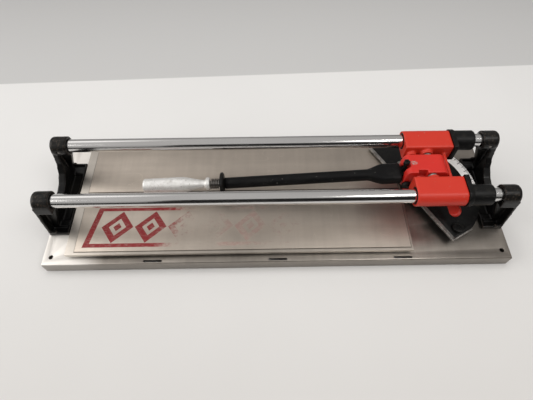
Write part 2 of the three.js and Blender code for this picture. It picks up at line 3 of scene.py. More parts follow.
import bmesh
import bpy
import numpy as np
from mathutils import Matrix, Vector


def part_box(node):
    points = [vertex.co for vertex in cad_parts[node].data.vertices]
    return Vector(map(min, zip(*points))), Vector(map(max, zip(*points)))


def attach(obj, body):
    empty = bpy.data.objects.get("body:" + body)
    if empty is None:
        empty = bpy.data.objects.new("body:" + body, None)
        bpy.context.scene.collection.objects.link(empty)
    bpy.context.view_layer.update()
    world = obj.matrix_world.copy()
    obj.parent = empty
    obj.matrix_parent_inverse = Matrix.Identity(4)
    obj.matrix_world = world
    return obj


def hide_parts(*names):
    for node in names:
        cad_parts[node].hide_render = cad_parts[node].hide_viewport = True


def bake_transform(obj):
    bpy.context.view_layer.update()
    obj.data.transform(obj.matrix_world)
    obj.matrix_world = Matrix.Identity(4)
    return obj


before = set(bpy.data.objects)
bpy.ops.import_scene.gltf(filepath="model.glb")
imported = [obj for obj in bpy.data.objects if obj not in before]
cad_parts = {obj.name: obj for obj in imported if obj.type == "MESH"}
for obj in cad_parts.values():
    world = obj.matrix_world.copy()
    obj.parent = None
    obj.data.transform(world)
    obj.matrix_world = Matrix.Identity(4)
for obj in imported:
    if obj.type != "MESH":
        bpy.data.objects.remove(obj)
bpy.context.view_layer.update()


# The studio: a matt, pale table top with a white board standing some way behind the cutter.
# Large soft boxes hang over it, and a black card lies past its near edge, as on a product
# table, so that polished metal shows broad bands of light and dark.
class Socket:
    """One output of a node. Arithmetic on it adds Math nodes to its tree."""

    def __init__(self, finish, output):
        self.finish = finish
        self.output = output

    def math(self, operation, *values, clamp=False):
        settings = {"operation": operation, "use_clamp": clamp}
        return self.finish.add("ShaderNodeMath", settings, values)

    def __add__(self, other):
        return self.math("ADD", self, other)

    def __radd__(self, other):
        return self.math("ADD", other, self)

    def __sub__(self, other):
        return self.math("SUBTRACT", self, other)

    def __rsub__(self, other):
        return self.math("SUBTRACT", other, self)

    def __mul__(self, other):
        return self.math("MULTIPLY", self, other)

    def __rmul__(self, other):
        return self.math("MULTIPLY", other, self)

    def __abs__(self):
        return self.math("ABSOLUTE", self)

    def step(self, low, high):
        """0 below `low`, 1 above `high`, and smooth between them; reversed if low is above high."""
        settings = {"interpolation_type": "SMOOTHSTEP"}
        if low < high:
            return self.finish.add("ShaderNodeMapRange", settings, (self, low, high))
        return self.finish.add("ShaderNodeMapRange", settings, (self, high, low, 1.0, 0.0))

    def both(self, other):
        return self.math("MINIMUM", self, other)

    def either(self, other):
        return self.math("MAXIMUM", self, other)


class Finish:
    """A material on a Principled shader, or a world, with one way to add a node to it."""

    def __init__(self, name, owner=None):
        self.data = owner or bpy.data.materials.new(name)
        self.data.use_nodes = True
        self.tree = self.data.node_tree
        self.shader = self.tree.nodes.get("Principled BSDF")

    def add(self, kind, settings=None, values=(), out=0):
        """Adds a node of a kind: its settings first, then its sockets' values or links."""
        node = self.tree.nodes.new(kind)
        for name, value in (settings or {}).items():
            setattr(node, name, value)
        pairs = values.items() if isinstance(values, dict) else enumerate(values)
        for name, value in pairs:
            if isinstance(value, Socket):
                self.tree.links.new(value.output, node.inputs[name])
            elif value is not None:
                node.inputs[name].default_value = value
        return Socket(self, node.outputs[out])

    def place(self, stretch=(1, 1, 1), turn=(0, 0, 0), centre=(0, 0, 0)):
        """Object coordinates from a centre, turned by degrees, then stretched."""
        where = self.add("ShaderNodeTexCoord", out="Object")
        moved = self.add("ShaderNodeVectorMath", {"operation": "SUBTRACT"}, (where, centre))
        angles = [math.radians(angle) for angle in turn]
        return self.add("ShaderNodeMapping", {"vector_type": "POINT"}, (moved, None, angles, stretch))

    def along(self, axis, turn=(0, 0, 0), centre=(0, 0, 0)):
        """One object coordinate, in metres from a centre."""
        split = self.place(turn=turn, centre=centre)
        return self.add("ShaderNodeSeparateXYZ", values=(split,), out="XYZ".index(axis))

    def noise(self, size, stretch=(1, 1, 1), turn=(0, 0, 0), detail=4.0, rough=0.55):
        """Cloudy noise about 0.5, with blots of about `size` metres."""
        where = self.place(stretch, turn)
        values = {"Vector": where, "Scale": 1 / size, "Detail": detail, "Roughness": rough}
        return self.add("ShaderNodeTexNoise", None, values)

    def mix(self, factor, first, second):
        """One colour laid over another by a factor."""
        colours = [c if isinstance(c, Socket) else (*c, 1.0) for c in (first, second)]
        settings = {"data_type": "RGBA"}
        return self.add("ShaderNodeMix", settings, {0: factor, 6: colours[0], 7: colours[1]}, out=2)

    def bump(self, height, depth, under=None):
        """The normal of a surface raised by height times depth in metres."""
        values = {"Strength": 1.0, "Distance": depth, "Height": height}
        if under:
            values["Normal"] = under
        return self.add("ShaderNodeBump", None, values)

    def worn_edges(self, low, high):
        """1 on outward edges of a fine, even mesh, and 0 on its flats."""
        return self.add("ShaderNodeNewGeometry", out="Pointiness").step(low, high)

    def scratches(self, size, stretch, turn, width):
        """Thin lines where a long, stretched noise passes through its middle value."""
        line = abs(self.noise(size, stretch, turn, detail=1.0) - 0.5)
        return line.step(width, 0.0)

    def set(self, **sockets):
        """Sets or links the shader's sockets, named with underscores for spaces."""
        for name, value in sockets.items():
            socket = self.shader.inputs[name.replace("_", " ")]
            if isinstance(value, Socket):
                self.tree.links.new(value.output, socket)
            else:
                socket.default_value = value
        return self


def table_finish():
    """Pale laminate, faintly clouded, with painted shade darkening it towards the front, and a board behind
    the seam painted greyer towards its top as painted shade.
    """
    finish = Finish("pale_table")
    depth = finish.along("Y", turn=(0, 0, -1.9))
    board = depth.step(0.308, 0.312)
    # painted shade: the board's grey darkens from the seam to 1.3 m behind it, standing in for light that
    # falls off up the board
    shade = depth.step(1.3, 0.312)
    cloud = finish.noise(0.35, detail=3.0)
    top = finish.mix(cloud, (0.69, 0.688, 0.685), (0.74, 0.738, 0.735))
    # painted shade: the table top's colour is darkened towards the front edge, where less light reaches it
    near = finish.mix(cloud, (0.55, 0.535, 0.52), (0.60, 0.585, 0.57))
    top = finish.mix(depth.step(-0.75, 0.25), near, top)
    board_painted_shade = finish.mix(shade, (0.27, 0.267, 0.27), (0.52, 0.52, 0.52))
    grain = finish.noise(0.004, (1, 4, 1))
    return finish.set(
        Base_Color=finish.mix(board, top, board_painted_shade),
        Roughness=0.7 + cloud * 0.1,
        Specular_IOR_Level=0.25,
        Normal=finish.bump(grain, 0.00003),
    )


def flat_quad(name, corners, finish):
    """A four-cornered sheet from its corners, taken anticlockwise from above."""
    mesh = bpy.data.meshes.new(name)
    mesh.from_pydata(corners, [], [(0, 1, 2, 3)])
    mesh.materials.append(finish.data)
    sheet = bpy.data.objects.new(name, mesh)
    bpy.context.collection.objects.link(sheet)
    return sheet


REACH = 6.0
table_corners = [(-REACH, -REACH, 0), (REACH, -REACH, 0), (REACH, REACH, 0), (-REACH, REACH, 0)]
flat_quad("table", table_corners, table_finish())

card_finish = Finish("black_card").set(Base_Color=(0.004, 0.004, 0.004, 1), Roughness=1.0)
low_card = [(-2.2, -1.5, 0.42), (2.2, -1.5, 0.42), (2.2, -0.43, 0.002), (-2.2, -0.43, 0.002)]
tall_card = [(-0.42, -0.78, 0.8), (0.8, -0.78, 0.8), (0.8, -0.72, 0.2), (-0.42, -0.72, 0.2)]
for name, corners in (("low_card", low_card), ("tall_card", tall_card)):
    card = flat_quad(name, corners, card_finish)
    card.visible_camera = False
    card.visible_diffuse = False
    card.visible_shadow = False


def soft_box(name, place, aim, width, height, power, tint=(1.0, 0.98, 0.95)):
    """A rectangular light at a place, turned to face the point `aim`."""
    light = bpy.data.lights.new(name, "AREA")
    light.shape = "RECTANGLE"
    light.size = width
    light.size_y = height
    light.energy = power
    light.color = tint
    lamp = bpy.data.objects.new(name, light)
    look = Matrix.Translation(place).to_translation() - Matrix.Translation(aim).to_translation()
    lamp.location = place
    lamp.rotation_euler = look.to_track_quat("Z", "Y").to_euler()
    bpy.context.collection.objects.link(lamp)
    return lamp


soft_box("overhead_box", (0.15, 0.15, 1.5), (0, 0, 0), 1.5, 1.1, 10).visible_glossy = False
soft_box("left_window", (-1.75, -0.2, 0.95), (0, 0, 0.05), 1.6, 1.3, 17)
soft_box("right_lamp", (0.85, -0.55, 1.55), (0.1, 0, 0.05), 0.8, 0.35, 6)

world = bpy.data.worlds.new("studio")
bpy.context.scene.world = world
surround = Finish("studio", world)
facing = surround.add("ShaderNodeTexCoord", out="Generated")
sideways = surround.add("ShaderNodeSeparateXYZ", values=(facing,), out=0)
upwards = surround.add("ShaderNodeSeparateXYZ", values=(facing,), out=2)
towards_window = surround.add(
    "ShaderNodeVectorMath", {"operation": "DOT_PRODUCT"}, (facing, (-0.50, 0.47, 0.72)), out="Value"
)
glow = 0.18 + upwards.step(-0.1, 0.75) * 0.33 - sideways * 0.10 + towards_window.step(0.955, 0.99) * 0.8
room = world.node_tree.nodes["Background"]
room.inputs["Color"].default_value = (1.0, 0.975, 0.95, 1)
world.node_tree.links.new(glow.output, room.inputs["Strength"])

PITCH, YAW, ROLL = (math.radians(angle) for angle in (57.876, 0.61, -0.342))
ahead = np.array([math.sin(YAW) * math.cos(PITCH), math.cos(YAW) * math.cos(PITCH), -math.sin(PITCH)])
level = np.array([math.cos(YAW), -math.sin(YAW), 0])
above = np.cross(level, ahead)
across = math.cos(ROLL) * level + math.sin(ROLL) * above
upright = math.cos(ROLL) * above - math.sin(ROLL) * level
lens = bpy.data.cameras.new("camera")
lens.sensor_width = 36
lens.lens = 27.895
camera = bpy.data.objects.new("camera", lens)
pose = Matrix(np.stack([across, upright, -ahead], 1).tolist()).to_4x4()
pose.translation = (-0.0179, -0.3590, 0.5811)
camera.matrix_world = pose
bpy.context.collection.objects.link(camera)
bpy.context.scene.camera = camera
bpy.context.scene.view_settings.view_transform = "Standard"


# Base tray. One sheet of stainless steel, brushed lengthways and folded down on all four
# sides, with punched slots along both long edges and a fixing hole in each corner.
def brushed_steel(name, light, dark, rough, print_over=None, under=None, painted_light_end=None, folded_at=None):
    """Warm grey steel with lengthways brushing, dull stains, fine scratches and rubbed patches.
    A dark band lies just outside the edge of the sheet named by `under`, the sheet is painted whiter
    to the left of a given x as painted light, and a folded sheet carries painted shade to the right and down
    its sides."""
    finish = Finish(name)
    stain = finish.noise(0.075, (1, 1.5, 1), detail=6.0, rough=0.62)
    streak = finish.noise(0.012, (0.05, 1, 1), detail=4.0)
    cross = finish.noise(0.010, (1, 0.06, 1), detail=3.0)
    hair = finish.noise(0.0011, (0.03, 1, 1), detail=2.0)
    scratch = finish.scratches(0.05, (0.35, 1.4, 1), (0, 0, 24), 0.0022)
    scratch = scratch.either(finish.scratches(0.04, (1.2, 0.3, 1), (0, 0, -57), 0.0018))
    scratch = scratch.both(finish.noise(0.06).step(0.48, 0.6))
    tone = stain.step(0.3, 0.7) * 0.45 + streak.step(0.3, 0.7) * 0.22
    tone = tone + cross.step(0.3, 0.7) * 0.2 + hair * 0.13
    colour = finish.mix(tone, dark, light)
    colour = finish.mix(scratch * 0.35, colour, [min(1, c * 1.3) for c in light])
    roughness = rough + stain * 0.14 - streak * 0.05 - scratch * 0.06
    metal = 1.0
    if painted_light_end:
        # painted light: the sheet is made whiter and rougher towards its left end, standing in for light from
        # the left window
        painted_light = finish.along("X").step(painted_light_end + 0.05, painted_light_end) * (1.0 if folded_at else 0.15)
        colour = finish.mix(painted_light, colour, (0.93, 0.90, 0.86))
        roughness = roughness + painted_light * 0.22
    if folded_at:
        # painted shade: the folded sheet is darkened towards its right end and down its folded sides
        painted_shade_right = finish.along("X").step(0.18, 0.29) * 0.6
        side = finish.along("Z").step(folded_at - 0.0008, folded_at - 0.0022) * 0.7
        colour = finish.mix(painted_shade_right.either(side), colour, [c * 0.75 for c in dark])
        roughness = roughness + painted_shade_right * 0.12
    if under:
        # a dark band about 1.6 mm wide just outside the edge of the sheet named by `under`, darkening the
        # plate there
        low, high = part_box(under)
        beside = abs(finish.along("X", centre=((low[0] + high[0]) / 2, 0, 0))) - (high[0] - low[0]) / 2
        before = abs(finish.along("Y", centre=(0, (low[1] + high[1]) / 2, 0))) - (high[1] - low[1]) / 2
        grime = beside.either(before).step(0.0016, 0.0003)
        colour = finish.mix(grime * 0.75, colour, (0.06, 0.045, 0.035))
        roughness = roughness + grime * 0.2
    if print_over:
        ink, strength = print_over(finish)
        colour = finish.mix(strength, colour, ink)
        roughness = roughness + strength * 0.12
        metal = 1 - strength * 0.9
    normal = finish.bump(hair, 0.000012, finish.bump(stain, 0.00035))
    return finish.set(Base_Color=colour, Roughness=roughness, Metallic=metal, Normal=normal)


def finish_off(name, mesh, finish, body, crease=35):
    """Turns a mesh's faces out, shades it, and makes it a piece that rides on a body, or that
    stays where it stands, unattached, when `body` is (first, second, start, end)."""
    shape = bmesh.new()
    shape.from_mesh(mesh)
    bmesh.ops.remove_doubles(shape, verts=shape.verts, dist=1e-6)
    bmesh.ops.recalc_face_normals(shape, faces=shape.faces)
    shape.to_mesh(mesh)
    shape.free()
    mesh.polygons.foreach_set("use_smooth", np.ones(len(mesh.polygons), bool))
    mesh.set_sharp_from_angle(angle=math.radians(crease))
    mesh.materials.clear()
    mesh.materials.append(finish.data)
    piece = bpy.data.objects.new(name, mesh)
    bpy.context.collection.objects.link(piece)
    if isinstance(body, str):
        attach(piece, body)
    else:
        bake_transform(piece)
    return piece


def merged_copy(node):
    """The mesh of a CAD node with its loose triangles joined and its flat faces whole again."""
    shape = bmesh.new()
    shape.from_mesh(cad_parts[node].data)
    bmesh.ops.remove_doubles(shape, verts=shape.verts, dist=2e-6)
    bmesh.ops.dissolve_limit(shape, angle_limit=math.radians(0.4), verts=shape.verts, edges=shape.edges)
    mesh = bpy.data.meshes.new(node)
    shape.to_mesh(mesh)
    shape.free()
    return mesh


def worked(mesh, modifiers):
    """The mesh after a list of (type, settings) modifiers has been applied to it."""
    holder = bpy.data.objects.new("work", mesh)
    bpy.context.collection.objects.link(holder)
    for kind, settings in modifiers:
        modifier = holder.modifiers.new(kind.lower(), kind)
        for name, value in settings.items():
            setattr(modifier, name, value)
    graph = bpy.context.evaluated_depsgraph_get()
    done = bpy.data.meshes.new_from_object(holder.evaluated_get(graph))
    bpy.data.objects.remove(holder)
    return done


def broken_edges(node, finish, body, width=0.0005, segments=2, limit=25):
    """A CAD node's solid with its sharp edges broken by a small round."""
    settings = {
        "width": width, "segments": segments, "limit_method": "ANGLE",
        "angle_limit": math.radians(limit), "use_clamp_overlap": True,
    }
    mesh = worked(merged_copy(node), [("BEVEL", settings)])
    piece = finish_off(node + "_made", mesh, finish, body)
    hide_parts(node)
    return piece


tray_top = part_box("base_tray")[1][2]
tray_steel = brushed_steel(
    "tray_steel", (0.58, 0.53, 0.475), (0.30, 0.27, 0.24), 0.32, painted_light_end=-0.30, folded_at=tray_top
)
broken_edges("base_tray", tray_steel, "frame", 0.0007, 3)


# Four rubber feet under the corners of the tray. Moulded in black rubber, slightly tapered
# towards the ground, and glued to the sheet.
def ring_faces(rings, around, close="ends"):
    """Quads between neighbouring rings of points; `close` caps the ends, or joins last to first."""
    spans = rings if close == "loop" else rings - 1
    i = np.arange(spans)[:, None]
    j = np.arange(around)[None, :]
    after = (i + 1) % rings
    beside = (j + 1) % around
    corners = [i * around + j, i * around + beside, after * around + beside, after * around + j]
    faces = np.stack(np.broadcast_arrays(*corners), -1).reshape(-1, 4).tolist()
    if close == "ends":
        faces.append(list(range(around))[::-1])
        faces.append(list(range((rings - 1) * around, rings * around)))
    return faces


def eased(points, reach, steps=5, loop=False):
    """An outline whose corner P becomes the curve (1-s)^2 A + 2s(1-s) P + s^2 B, where A and B
    lie `reach` from P on its two sides, or less on a short side."""
    corner = np.asarray(points, float)
    reach = np.broadcast_to(reach, len(corner))[:, None]
    back = np.roll(corner, 1, 0) - corner
    onward = np.roll(corner, -1, 0) - corner
    back_length = np.linalg.norm(back, axis=1, keepdims=True) + 1e-12
    onward_length = np.linalg.norm(onward, axis=1, keepdims=True) + 1e-12
    a = corner + back / back_length * np.minimum(reach, 0.48 * back_length)
    b = corner + onward / onward_length * np.minimum(reach, 0.48 * onward_length)
    s = np.linspace(0, 1, steps)[None, :, None]
    curve = (1 - s) ** 2 * a[:, None] + 2 * s * (1 - s) * corner[:, None] + s**2 * b[:, None]
    if loop:
        return curve.reshape(-1, corner.shape[1])
    middle = curve[1:-1].reshape(-1, corner.shape[1])
    return np.concatenate([corner[:1], middle, corner[-1:]])


def turned(profile, start, towards, sides=64):
    """A profile of (radius, distance) turned about a line: start + distance * axis +
    radius * (cos a * u + sin a * v), for the angle a all the way round."""
    profile = np.asarray(profile, float)
    axis = np.asarray(towards, float) / np.linalg.norm(towards)
    u = np.cross(axis, (0.0, 1.0, 0.0) if abs(axis[1]) < 0.9 else (1.0, 0.0, 0.0))
    u = u / np.linalg.norm(u)
    v = np.cross(axis, u)
    a = np.linspace(0, 2 * np.pi, sides, endpoint=False)[:, None]
    circle = np.cos(a) * u + np.sin(a) * v
    return np.asarray(start, float) + profile[:, 1, None, None] * axis + profile[:, 0, None, None] * circle


def skin(name, grid, finish, body, close="open", crease=35, stands_for=()):
    """A piece from a grid of rings of points."""
    rings, around = grid.shape[:2]
    mesh = bpy.data.meshes.new(name)
    mesh.from_pydata(grid.reshape(-1, 3).tolist(), [], ring_faces(rings, around, close))
    piece = finish_off(name, mesh, finish, body, crease)
    if stands_for:
        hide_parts(*stands_for)
    return piece


def centre_and_half(node):
    """The middle of a CAD node's box and its half sizes, in metres."""
    low, high = (np.array(corner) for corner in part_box(node))
    return (low + high) / 2, (high - low) / 2


ENDS = (("left", -1), ("right", 1))
SIDES = (("front", -1), ("rear", 1))
MM = 0.001


def rubber_finish():
    """Dusty black rubber with a fine matt grain."""
    finish = Finish("foot_rubber")
    dust = finish.noise(0.02, detail=5.0).step(0.45, 0.75)
    colour = finish.mix(dust, (0.018, 0.018, 0.018), (0.05, 0.048, 0.045))
    grain = finish.noise(0.0006)
    return finish.set(
        Base_Color=colour, Roughness=0.75 + dust * 0.15, Normal=finish.bump(grain, 0.0001)
    )


foot_rubber = rubber_finish()
for end, _ in ENDS:
    for side, _ in SIDES:
        node = f"{side}_{end}_rubber_foot"
        middle, half = centre_and_half(node)
        r, h = half[0], 2 * half[2]
        outline = [(0, 0.0004), (r - 0.004, 0.0004), (r - 0.0035, 0), (r - 0.0022, 0), (r - 0.001, h * 0.4),
                   (r, h * 0.85), (r, h), (0, h)]
        grid = turned(eased(outline, 0.0006, 4), (middle[0], middle[1], 0), (0, 0, 1), 48)
        skin(node + "_made", grid, foot_rubber, "frame", stands_for=(node,))


# Breaking rib. A narrow bar of dark, oiled steel on a flat foot, under the cutting line:
# the scored tile is snapped over its rounded crest.
def dark_steel_finish():
    """Oiled steel, blackened unevenly and rubbed bright in spots."""
    finish = Finish("dark_steel")
    oil = finish.noise(0.012, (0.4, 1, 1), detail=5.0)
    rub = finish.noise(0.004).step(0.56, 0.7)
    colour = finish.mix(oil, (0.10, 0.095, 0.09), (0.24, 0.225, 0.21))
    colour = finish.mix(rub, colour, (0.42, 0.40, 0.37))
    return finish.set(
        Base_Color=colour, Metallic=0.95, Roughness=0.3 + oil * 0.25,
        Normal=finish.bump(finish.noise(0.0012), 0.00004),
    )


dark_steel = dark_steel_finish()
broken_edges("breaking_rib", dark_steel, "frame", 0.0003)


# Work plates. Two shallow trays of the same steel stand on springs on each side of the rib,
# and each carries a thin facing sheet. The front one has what is left of a bold red print:
# a slanted frame round a row of tiles set on their corners, worn away towards the right.
def worn_print(finish):
    """Red ink and how much of it is left: a slanted frame with diamonds inside, lost in patches."""
    low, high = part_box("front_plate_facing")
    bottom, left = high[1] - 0.0885, low[0] + 0.0095
    height = 0.067
    up = finish.along("Y", centre=(0, bottom, 0))
    along = finish.along("X", centre=(left, 0, 0)) - up * 0.21

    def band(value, start, end):
        """1 where a coordinate lies between two places, with edges 0.4 mm soft."""
        return value.step(start - 0.0002, start + 0.0002).both(value.step(end + 0.0002, end - 0.0002))

    frame_end = 0.305
    frame_bar = band(along, 0, 0.0085).both(band(up, 0, height))
    rails = band(up, 0, 0.0062).either(band(up, height - 0.0055, height)).both(band(along, 0, frame_end))
    ink = frame_bar.either(rails)
    for number in range(6):
        centre = 0.040 + number * 0.050
        reach = abs(along - centre) * 1.12 + abs(up - height / 2)
        ring = band(reach, 0.0145, 0.0268)
        core = reach.step(0.0072, 0.0068)
        ink = ink.either(ring).either(core)
    wear = finish.noise(0.008, (1, 1.3, 1), detail=6.0, rough=0.7)
    patch = finish.noise(0.05, detail=3.0)
    loss = along.step(0.055, 0.165) * 0.42 - along.step(0.19, 0.215) * 0.10 + along.step(0.25, 0.30) * 0.12
    left_over = (wear * 0.6 + patch * 0.4 - loss).step(0.06, 0.30)
    thin = finish.noise(0.0016, (0.3, 1, 1), detail=3.0).step(0.2, 0.55)
    fade = 1 - along.step(0.12, 0.20) * 0.55
    return (0.22, 0.010, 0.013), ink * left_over * fade * (0.7 + thin * 0.3)


for side, _ in SIDES:
    plate, facing_node = side + "_plate", side + "_plate_facing"
    plate_finish = brushed_steel(
        plate + "_steel", (0.60, 0.55, 0.49), (0.44, 0.40, 0.355), 0.34, under=facing_node, painted_light_end=-0.29
    )
    broken_edges(side + "_work_plate", plate_finish, plate, 0.0006, 3)
    print_over = worn_print if side == "front" else None
    facing_finish = brushed_steel(facing_node, (0.63, 0.56, 0.49), (0.48, 0.425, 0.37), 0.42, print_over)
    broken_edges(facing_node, facing_finish, plate, 0.0002)
    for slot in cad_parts[side + "_edge_pad"].material_slots:
        slot.material = foot_rubber.data


# Plate springs. Four open coils of spring wire under the inner edges of the work plates.
def coil_points(centre, axis, radius, wire, turns, length, steps=36, sides=10):
    """A wire carried round a helix: the path is centre + s * axis + radius * (cos a, sin a) across
    it, and each ring of the wire stands square to the path."""
    axis = np.asarray(axis, float) / np.linalg.norm(axis)
    u = np.cross(axis, (0.0, 1.0, 0.0))
    u = u / np.linalg.norm(u)
    v = np.cross(axis, u)
    a = np.linspace(0, 2 * np.pi * turns, int(turns * steps))[:, None]
    rise = a / a[-1] * length
    out = np.cos(a) * u + np.sin(a) * v
    path = np.asarray(centre, float) + rise * axis + radius * out
    tangent = np.gradient(path, axis=0)
    tangent = tangent / np.linalg.norm(tangent, axis=1, keepdims=True)
    beside = np.cross(tangent, out)
    b = np.linspace(0, 2 * np.pi, sides, endpoint=False)[None, :, None]
    return path[:, None] + wire * (np.cos(b) * out[:, None] + np.sin(b) * beside[:, None])


for end, _ in ENDS:
    for side, _ in SIDES:
        node = f"{side}_{end}_plate_spring"
        middle, half = centre_and_half(node)
        wire = 0.7 * MM
        rise = np.array((0, 0, half[2] - wire))
        grid = coil_points(middle - rise, (0, 0, 1), half[0] - wire, wire, 3.5, 2 * rise[2])
        pressed = ("frame", side + "_plate", tuple(middle - rise), tuple(middle + rise))
        skin(node + "_made", grid, dark_steel, pressed, "ends", stands_for=(node,))


# End brackets. Iron castings under glossy black enamel, one at each end: a foot, two leaning
# legs with a cored pocket each, a saddle that lets the handle pass, and a boss for each rail.
# A bolt from under the tray holds each leg, and a grub screw pins each rail.
def enamel_finish(name, worn, gloss):
    """Thick black enamel over a sand-cast skin, rubbed brown along its edges, with a painted brown highlight
    streaked along the tops of the bosses.
    """
    finish = Finish(name)
    rub = finish.worn_edges(0.53, 0.60).both(finish.noise(0.006, detail=5.0).step(0.38, 0.62))
    grime = finish.noise(0.03, detail=6.0)
    spots = finish.noise(0.0035, detail=2.0).step(0.70, 0.76)
    colour = finish.mix(grime.step(0.35, 0.7), (0.002, 0.002, 0.0022), (0.006, 0.0055, 0.005))
    colour = finish.mix(rub * worn, colour, (0.11, 0.085, 0.065))
    colour = finish.mix(spots * 0.5, colour, (0.10, 0.085, 0.07))
    # painted highlight: brown streaks painted along the tops of the bosses, above 92 mm, where light catches
    # them
    crown = finish.along("Z").step(0.092, 0.104)
    crown = crown.both(finish.noise(0.0035, (1.6, 1, 1), detail=5.0, rough=0.7).step(0.52, 0.66))
    colour = finish.mix(crown * worn * 0.5, colour, (0.11, 0.082, 0.06))
    skin_height = finish.noise(0.0045, detail=3.0) * 0.7 + finish.noise(0.0012) * 0.3
    return finish.set(
        Base_Color=colour,
        Roughness=gloss + grime * 0.16 + rub.either(crown) * 0.2,
        Specular_IOR_Level=0.26,
        Normal=finish.bump(skin_height, 0.00022),
    )


def casting(nodes, finish, body, grain=0.0010, rounds=6):
    """CAD solids joined into one skin of even quads and then relaxed, which rounds every edge
    and fills every corner as a casting does."""
    shape = bmesh.new()
    for node in nodes:
        shape.from_mesh(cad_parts[node].data)
    bmesh.ops.remove_doubles(shape, verts=shape.verts, dist=2e-6)
    mesh = bpy.data.meshes.new(nodes[0])
    shape.to_mesh(mesh)
    shape.free()
    steps = [
        ("REMESH", {"mode": "VOXEL", "voxel_size": grain, "use_smooth_shade": True}),
        ("SMOOTH", {"factor": 0.5, "iterations": rounds}),
    ]
    piece = finish_off(nodes[0] + "_cast", worked(mesh, steps), finish, body, crease=80)
    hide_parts(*nodes)
    return piece


enamel = enamel_finish("black_enamel", 0.9, 0.22)
for end, _ in ENDS:
    casting([end + "_bracket"], enamel, "frame", 0.0011, 5)
    for side, _ in SIDES:
        broken_edges(f"{side}_{end}_bracket_bolt", dark_steel, "frame", 0.0004)
        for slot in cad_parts[f"{side}_{end}_rail_screw"].material_slots:
            slot.material = dark_steel.data


# Rails. Two ground steel bars, hard chromed, polished round their girth, with chamfered ends
# in the bosses; sliding has left faint lengthways rubbing.
def chrome_finish():
    """Bright chrome with a soft haze, faint lengthways rubbing and a few dull specks."""
    finish = Finish("chrome")
    rub = finish.noise(0.0014, (0.02, 1, 1), detail=3.0)
    haze = finish.noise(0.05, (0.4, 1, 1), detail=4.0)
    speck = finish.noise(0.0022, (0.5, 1, 1), detail=1.0).step(0.72, 0.80)
    speck = speck.both(finish.noise(0.03).step(0.5, 0.6))
    colour = finish.mix(haze, (0.66, 0.655, 0.65), (0.76, 0.755, 0.75))
    colour = finish.mix(speck * 0.7, colour, (0.22, 0.19, 0.16))
    return finish.set(
        Base_Color=colour,
        Metallic=1.0,
        Roughness=0.11 + rub * 0.08 + haze.step(0.45, 0.8) * 0.06 + speck * 0.3,
        Normal=finish.bump(rub, 0.000004),
    )


chrome = chrome_finish()
for side, _ in SIDES:
    node = side + "_rail"
    middle, half = centre_and_half(node)
    r, length = half[2], 2 * half[0]
    outline = [(0, 0), (r - 0.0012, 0), (r, 0.0012), (r, length - 0.0012), (r - 0.0012, length), (0, length)]
    start = (middle[0] - half[0], middle[1], middle[2])
    grid = turned(eased(outline, 0.0005, 4), start, (1, 0, 0), 96)
    skin(node + "_made", grid, chrome, "frame", stands_for=(node,))


# Carriage. A die-cast body of two sleeves joined by lugs and a rear bridge, powder coated
# red. It runs on the rails in nylon bushes, whose long collars stand out as buffers.
def powder_coat(name, colour, dark, worn, scuff_at=None):
    """Red powder coat: fine orange peel, lighter and pinker along its edges as edge wear and a painted
    edge highlight, chipped and smudged, and scuffed through to grey metal in a spot."""
    finish = Finish(name)
    tone = finish.noise(0.035, detail=5.0)
    smudge = finish.noise(0.018, detail=6.0, rough=0.7).step(0.56, 0.78)
    rub = finish.worn_edges(0.525, 0.585)
    chip = finish.noise(0.0028, detail=2.0).step(0.68, 0.72).both(finish.noise(0.02).step(0.52, 0.62))
    paint = finish.mix(tone, dark, colour)
    # partly edge wear and partly a painted highlight: the paint is made lighter and pinker along convex edges
    paint = finish.mix(rub * worn, paint, [c + 0.3 * (1 - c) * w for c, w in zip(colour, (1, 0.45, 0.4))])
    paint = finish.mix(smudge * 0.28, paint, (0.22, 0.02, 0.016))
    paint = finish.mix(chip * 0.85, paint, (0.30, 0.22, 0.18))
    if scuff_at:
        x, y = (finish.along(axis, centre=scuff_at) for axis in "XY")
        spot = (x * x * 0.6 + y * y).step(0.0045**2, 0.0020**2)
        spot = spot.both(finish.noise(0.0022, (1, 1.6, 1), (0, 0, 30), detail=3.0).step(0.50, 0.54))
        paint = finish.mix(spot, paint, (0.36, 0.31, 0.28))
    peel = finish.noise(0.0016, detail=2.0)
    return finish.set(
        Base_Color=paint,
        Roughness=0.36 + tone * 0.1 + smudge * 0.15,
        Specular_IOR_Level=0.45,
        Normal=finish.bump(peel, 0.00008),
    )


def nylon_finish(name="black_nylon"):
    """Moulded black nylon: dull sheen, scuffs and grey dust."""
    finish = Finish(name)
    dust = finish.noise(0.008, detail=6.0, rough=0.7).step(0.5, 0.8)
    scuff = finish.noise(0.0016, (0.2, 1, 1), detail=2.0).step(0.6, 0.75)
    colour = finish.mix(dust, (0.004, 0.004, 0.004), (0.017, 0.015, 0.012))
    colour = finish.mix(scuff * 0.3, colour, (0.06, 0.055, 0.05))
    return finish.set(
        Base_Color=colour,
        Specular_IOR_Level=0.2,
        Roughness=0.42 + dust * 0.2,
        Normal=finish.bump(finish.noise(0.0009), 0.00005),
    )


RED, DEEP_RED = (0.575, 0.032, 0.014), (0.49, 0.022, 0.010)
body_red = powder_coat("carriage_red", RED, DEEP_RED, 0.35)
casting(["carriage_body"], body_red, "carriage", 0.0010, 5)
SLEEVE_OUTER, SLEEVE_TOP, SLEEVE_INNER, SLEEVE_BORE = 15.2, 14, 24, 12.6
BUSH_BORE, BUSH_R, BARREL_R = 10.3 * MM, 12.2 * MM, 15 * MM
FLANGE_GROW, FLANGE_THICK = 1.7, 7 * MM


